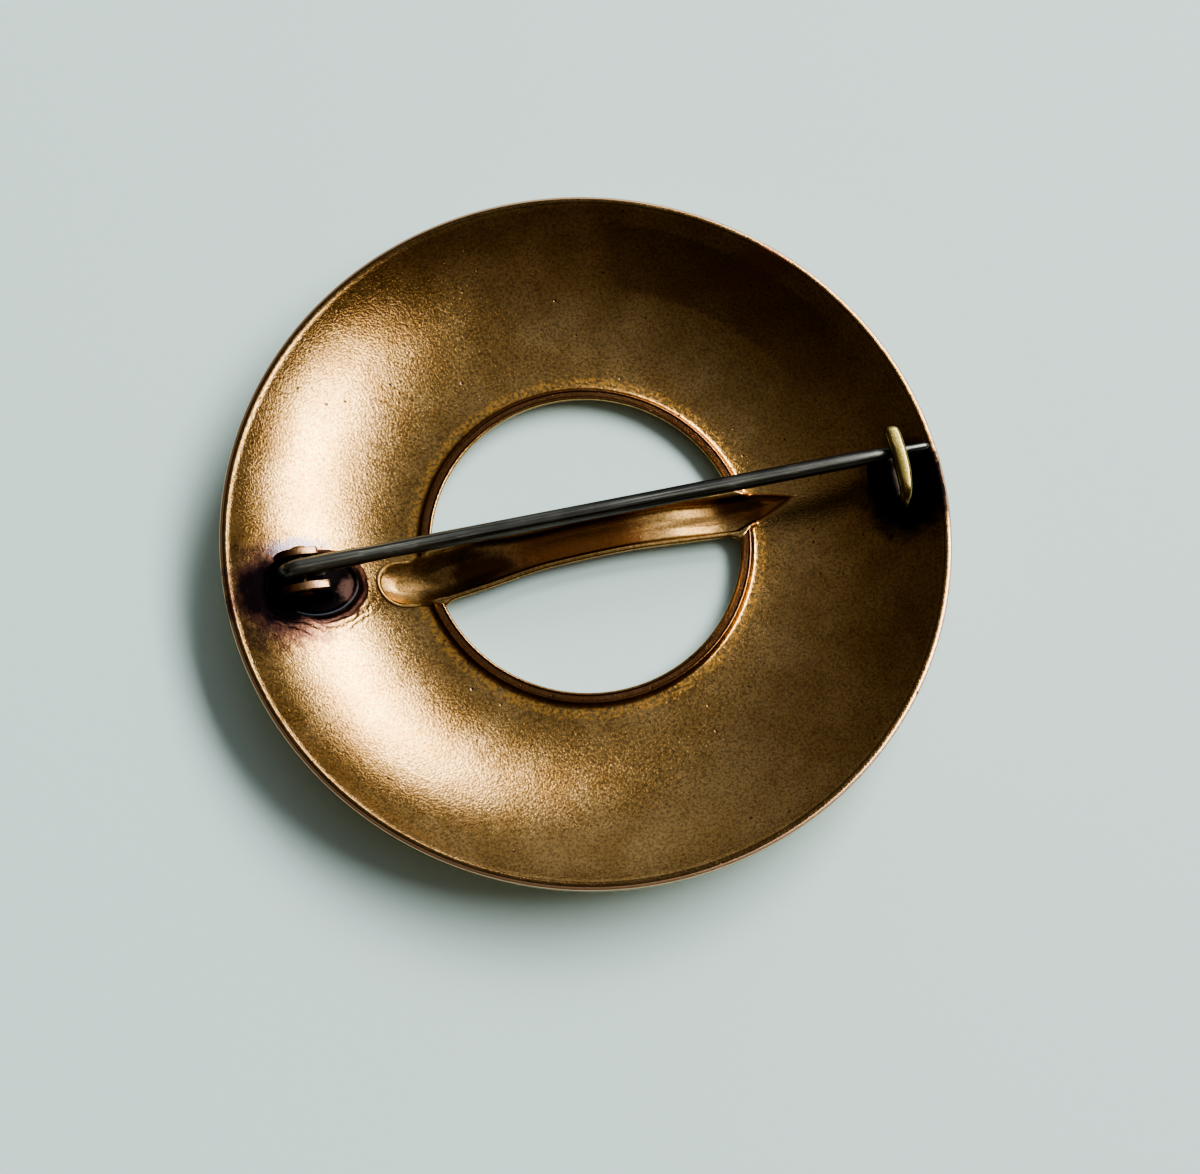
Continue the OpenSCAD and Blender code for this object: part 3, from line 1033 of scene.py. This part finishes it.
# %% [markdown]
# The rivet: a thin shank with two domed heads, hammered over the ears. One disc is extruded through
# both ears, and its two ends then grow and rise in small steps. That leaves no seam under the heads,
# as three separate turned pieces would.

# %% The rivet
SHANK_R = 0.36
SHANK_HALF = EAR_GAP / 2 + EAR_T + 0.06
# How much each step of a head grows in radius, and how far it rises.
HEAD_STEPS = [(1.52, 0.0), (1.04, 0.06), (0.86, 0.08), (0.6, 0.05), (0.3, 0.015)]

deselect_all()
bpy.ops.mesh.primitive_circle_add(vertices=40, radius=SHANK_R, fill_type="NGON",
                                  location=(rivet.x, rivet.y - SHANK_HALF, rivet.z),
                                  rotation=(math.pi / 2, 0, 0))
rivet_piece = started("rivet")
settle(rivet_piece)
edit(rivet_piece, "FACE")
bpy.ops.mesh.select_all(action="SELECT")
extrude((0, 2 * SHANK_HALF, 0))
done()
for side in (-1, 1):
    pick(rivet_piece, "FACE", lambda mid: abs(mid.y - rivet.y - side * SHANK_HALF) < 0.001)
    for grow, rise in HEAD_STEPS:
        extrude((0, side * rise, 0))
        bpy.ops.transform.resize(value=(grow, 1, grow))
    done()
close_seams(rivet_piece)
hand_over(rivet_piece, "rivet", bracket_finish, angle=40, stands_for=["hinge_rivet"])

# %% [markdown]
# The pin. Steel wire, turned round the rivet at one end. A disc of the wire's section is spun round
# the rivet for the eye and extruded along for the stem, with a resize at each change of thickness.

# %% The pin's eye
ROOT_R = 0.57
WIRE_R = 0.515
EYE_R = pin_high.z - ROOT_R - rivet.z
EYE_TURN = math.radians(272)

deselect_all()
bpy.ops.mesh.primitive_circle_add(vertices=32, radius=ROOT_R, fill_type="NGON",
                                  location=(rivet.x, rivet.y, rivet.z + EYE_R),
                                  rotation=(0, math.pi / 2, 0))
pin = started("pin_wire")
settle(pin)
edit(pin, "FACE")
bpy.ops.mesh.select_all(action="SELECT")
bpy.ops.mesh.spin(steps=48, angle=EYE_TURN, center=rivet, axis=(0, 1, 0))
extrude((0.0, 0, 0.08))
bpy.ops.transform.resize(value=(0.86, 0.86, 1))
done()
eye_left = min(v.co.x for v in pin.data.vertices)
print(f"Eye reaches x = {eye_left:.2f}, the frame says {pin_low.x:.2f}")

# %% The pin's stem and point
# Where along x the wire has which radius.
STEM = [(-14.6, ROOT_R), (-14.3, 0.545)]
STEM += [(x, WIRE_R) for x in (-14.0, -7.0, 0.0, 7.0, 13.0, 17.5)]
STEM += [(18.6, 0.45), (19.8, 0.36), (21.2, 0.27), (22.05, 0.245), (22.2, 0.21), (22.32, 0.15), (22.4, 0.06)]
pick(pin, "VERT", lambda co: abs(co.x - rivet.x) < 0.001 and co.z > rivet.z + 0.4)
bpy.ops.mesh.edge_face_add()
bpy.ops.mesh.select_mode(type="FACE")
x_now, r_now = rivet.x, ROOT_R
for x_next, r_next in STEM:
    extrude((x_next - x_now, 0, 0))
    bpy.ops.transform.resize(value=(1, r_next / r_now, r_next / r_now))
    x_now, r_now = x_next, r_next
done()
close_seams(pin)
hand_over(pin, "pin", steel, angle=50, stands_for=["pin_stem"])

# %% [markdown]
# The catch. Half-round brass wire bent to a C. A rounded section is extruded along the lower arm,
# spun through the bend and extruded along the free arm; then the C is bowed a little in plan. A curve
# with a bevel would bend as well, but its section couldn't thin at the bend and at the tip.

# %% The catch
CATCH_W = hook_high.x - hook_low.x
CATCH_T = 0.7
CATCH_TOP = hook_high.z
CATCH_FOOT = hook_low.z
CATCH_REACH = hook_high.y
BEND_R = (CATCH_TOP - CATCH_FOOT) / 2
BEND_Y = hook_low.y + BEND_R
FOOT_Y = 0.9
# How far each step of the tip goes on, and how much it narrows.
TIP_STEPS = [(0.15, 0.96), (0.12, 0.9), (0.09, 0.82), (0.06, 0.7), (0.03, 0.5)]

deselect_all()
bpy.ops.mesh.primitive_plane_add(size=1, location=(CATCH_X, FOOT_Y, CATCH_FOOT + CATCH_T / 2),
                                 rotation=(math.pi / 2, 0, 0))
hook = started("catch_strip")
hook.scale = (CATCH_W, CATCH_T, 1)
settle(hook)
edit(hook)
bpy.ops.mesh.select_all(action="SELECT")
bpy.ops.mesh.bevel(offset=0.26, segments=5, affect="VERTICES")
bpy.ops.mesh.select_mode(type="FACE")
bpy.ops.mesh.select_all(action="SELECT")
for _ in range(2):
    extrude((0, (BEND_Y - FOOT_Y) / 2, 0))
bpy.ops.mesh.spin(steps=28, angle=math.pi, center=(CATCH_X, BEND_Y, CATCH_FOOT + BEND_R), axis=(1, 0, 0))
arm = CATCH_REACH - sum(push for push, _ in TIP_STEPS) - BEND_Y
for _ in range(10):
    extrude((0, arm / 10, 0))
for push, shrink in TIP_STEPS:
    extrude((0, push, 0))
    bpy.ops.transform.resize(value=(shrink, 1, mix(shrink, 1, 0.5)))
done()
close_seams(hook)
spread = [(min(v.co[i] for v in hook.data.vertices), max(v.co[i] for v in hook.data.vertices))
          for i in (1, 2)]
print("Catch reaches in y and z:", [(round(low, 2), round(high, 2)) for low, high in spread])

# %% Bow the catch in plan and thin its bend
for v in hook.data.vertices:
    along = (v.co.y - hook_low.y) / (CATCH_REACH - hook_low.y)
    upper = ease(v.co.z, CATCH_FOOT + BEND_R, CATCH_TOP)
    free_arm = mix(0.72, 1.1, ease(along, 0.0, 0.5))
    round_bend = mix(0.35, 1.0, ease(along, 0.0, 0.13))
    v.co.x = CATCH_X + (v.co.x - CATCH_X) * mix(0.85, free_arm, upper) * round_bend
    v.co.x += upper * (0.25 - 0.9 * (along - 0.55) ** 2 - 0.15 * (1 - along))
hand_over(hook, "brooch", brass, angle=50, stands_for=["catch_hook"])

# %% The catch's foot in its solder
def foot_loop(grow, lift):
    loop = []
    for a in (2 * math.pi * i / 72 for i in range(72)):
        c, s = math.cos(a), math.sin(a)
        spread = grow * (1 + 0.4 * ripple(c, s, 2.0, 9.0)) if grow > 0 else grow
        x = CATCH_X - 0.05 + (CATCH_W / 2 + 0.1 + spread) * math.copysign(abs(c) ** 0.6, c)
        y = (BEND_Y + FOOT_Y) / 2 + ((FOOT_Y - BEND_Y) / 2 + spread) * math.copysign(abs(s) ** 0.6, s)
        ground = bowl_height(min(math.hypot(x, y), RIM_R - RIM_LAND - 0.02))
        lumps = 0.06 * ripple(x, y, 2.2, 5.0) * (1 - abs(2 * lift - 1))
        loop.append((x, y, mix(ground - 0.05, max(CATCH_FOOT + 0.1, ground + 0.03), lift) + lumps))
    return loop


# Spread and height again, now round the catch's foot.
FOOT = [(-0.35, 1.0), (-0.1, 1.0), (0.0, 0.85), (0.08, 0.6), (0.2, 0.4), (0.35, 0.3), (0.5, 0.12),
        (0.65, 0.0), (0.5, -0.6)]
foot = lay_rows("catch_solder", [foot_loop(grow, lift) for grow, lift in FOOT])
hand_over(foot, "brooch", solder_finish, angle=60)

# %% [markdown]
# The table is a large pale sheet. A soft window stands to the right, and the room behind the camera
# is dim, which makes the left of the bowl bright and the right of it dark. An area light stands for
# the window, because polished metal shows its shape, and the room is a glow in the world.

# %% Floor
TABLE_SIZE = 4.0
TABLE_DARK = (0.76, 0.99, 1.0, 1)
TABLE_LIGHT = (0.78, 1.0, 1.0, 1)

deselect_all()
bpy.ops.mesh.primitive_plane_add(size=TABLE_SIZE, location=(0, 0, 0))
table_top = started("table_top")
table_finish, tree, where = new_finish("pale_table")
colour = tint(tree, cloudy(tree, where, 0.02, 3.0), TABLE_DARK, TABLE_LIGHT)
set_surface(tree, colour, 0.7, cloudy(tree, where, 1.5), depth=0.01, metallic=0.0)
table_top.data.materials.append(table_finish)
print(f"Table of {TABLE_SIZE} m")

# %% The window
WALL_AZIMUTH = math.radians(19)
WALL_AWAY = 0.5
WINDOW_ASIDE, WINDOW_UP = -0.01, 0.658
WINDOW_WIDTH, WINDOW_TALL = 0.845, 0.395
WINDOW_ROLL = math.radians(17)
WINDOW_POWER = 10.6
WINDOW_COLOUR = (1.0, 0.965, 0.915)


def direction(azimuth, height):
    """The unit vector towards an azimuth and a height, both in radians."""
    level = math.cos(height)
    return Vector((math.cos(azimuth) * level, math.sin(azimuth) * level, math.sin(height)))


out = direction(WALL_AZIMUTH, 0)
aside = Vector((-out.y, out.x, 0))
deselect_all()
window_place = out * WALL_AWAY + aside * WINDOW_ASIDE + Vector((0, 0, WINDOW_UP))
bpy.ops.object.light_add(type="AREA", location=window_place)
window = bpy.context.object
window.name = "window"
window.data.shape = "RECTANGLE"
window.data.size, window.data.size_y = WINDOW_WIDTH, WINDOW_TALL
window.data.energy = WINDOW_POWER
window.data.color = WINDOW_COLOUR
facing_in = out.to_track_quat("Z", "Y").to_matrix()
window.rotation_euler = (facing_in @ Matrix.Rotation(-WINDOW_ROLL, 3, "Z")).to_euler()
print(f"Window {WINDOW_WIDTH} by {WINDOW_TALL} m, at {[round(c, 2) for c in window_place]}")

# %% The dim room
ROOM_LEVEL = 0.075
DIM_LIGHT = (1.0, 0.84, 0.68, 1)
SKY_LIGHT = (0.93, 0.98, 1.0, 1)


world = bpy.data.worlds.new("dim_room")
world.use_nodes = True
bpy.context.scene.world = world
tree = world.node_tree
facing = tree.nodes.new("ShaderNodeTexCoord").outputs["Generated"]


def room_glow(azimuth, height, tightness, strength):
    """A soft glow round one direction, which is given in degrees."""
    middle = tuple(direction(math.radians(azimuth), math.radians(height)))
    toward = calc(tree, "MAXIMUM", vector_calc(tree, "DOT_PRODUCT", facing, middle), 0.0)
    return multiply(tree, calc(tree, "POWER", toward, tightness), strength)


glow = calc(tree, "ADD", room_glow(32, 60, 3.5, 0.29), room_glow(76, 14, 8.0, 0.36))
cool = soft_step(tree, glow, 0.02, 0.2)
background = tree.nodes["Background"].inputs
feed(tree, background["Color"], tint(tree, cool, DIM_LIGHT, SKY_LIGHT))
feed(tree, background["Strength"], calc(tree, "ADD", glow, ROOM_LEVEL))
print("World:", world.name)

# %% [markdown]
# The camera stands a hand's length above the brooch, turned a little to the left of straight down.
# Its place and roll come from fitting the ovals of the rim, the hole and the lip.

# %% Camera
EYE = Vector((-12.880, -38.119, 119.411)) * MM
RIGHT = (0.97536, -0.21619, 0.04395)
UP = (0.19371, 0.93458, 0.29841)
BACK = (-0.10559, -0.28254, 0.95343)
SENSOR = 36.0
LENS = 57.93
deselect_all()
bpy.ops.object.camera_add(location=EYE)
camera = bpy.context.object
camera.rotation_mode = "QUATERNION"
camera.rotation_quaternion = Matrix((RIGHT, UP, BACK)).transposed().to_quaternion()
camera.data.sensor_width = SENSOR
camera.data.lens = LENS
camera.data.clip_start = 0.005
bpy.context.scene.camera = camera
bpy.context.scene.view_settings.view_transform = "AgX"
bpy.context.scene.view_settings.look = "AgX - High Contrast"
print(f"Camera {EYE.length / MM:.0f} mm from the middle of the brooch")
